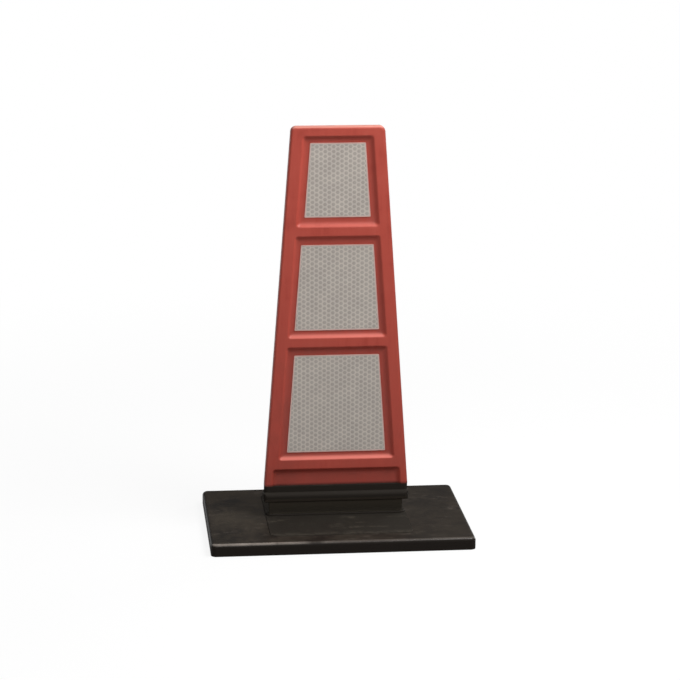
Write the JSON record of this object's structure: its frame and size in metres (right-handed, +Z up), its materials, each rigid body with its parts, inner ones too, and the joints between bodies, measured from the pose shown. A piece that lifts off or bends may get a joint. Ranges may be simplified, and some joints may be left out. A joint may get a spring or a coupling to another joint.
{
  "type": "flexible lane divider",
  "caption": "Upright tapered blade with recessed reflective panels, carried by a flexible hinge strip on a flat rectangular rubber base; it bends over when driven on and springs back.",
  "frame": {"origin": "centre of the base's underside, on the road", "axes": "+Z up along the blade, +X along the base's long side and the blade's width, the blade's front face towards -Y"},
  "size_m": [0.21, 0.14, 0.3284],
  "materials": {
    "base_rubber": "moulded, slightly glossy, dusty and scuffed",
    "hinge_rubber": "moulded, satin",
    "strip_rubber": "moulded, matte",
    "blade_rubber": "moulded, satin, coloured through",
    "reflective_sheet": "retroreflective film with a honeycomb cell pattern",
    "steel": "zinc plated",
    "bush_brass": "plain",
    "rod_plastic": "pultruded glass fibre"
  },
  "bodies": {
    "base": {"base_plate": "base_rubber", "hinge_foot": "hinge_rubber", "foot_plate": "steel", "foot_bushes": "bush_brass", "foot_screws": "steel", "clamp_strip_front": "steel", "clamp_strip_rear": "steel", "hinge_strip": "strip_rubber"},
    "blade": {"socket_bar": "hinge_rubber", "blade": "blade_rubber", "locking_rod": "rod_plastic", "rod_plug_left": "strip_rubber", "rod_plug_right": "strip_rubber", "sheet_front_top": "reflective_sheet", "sheet_front_middle": "reflective_sheet", "sheet_front_bottom": "reflective_sheet", "sheet_rear_top": "reflective_sheet", "sheet_rear_middle": "reflective_sheet", "sheet_rear_bottom": "reflective_sheet"}
  },
  "joints": [
    {"name": "blade_bend", "type": "hinge", "parent": "base", "child": "blade", "pos_m": [0, 0, 0.01837], "axis": [1, 0, 0], "range_deg": [-90, 90], "stiffness_Nm_per_rad": 6, "deforming": ["hinge_strip"]}
  ]
}
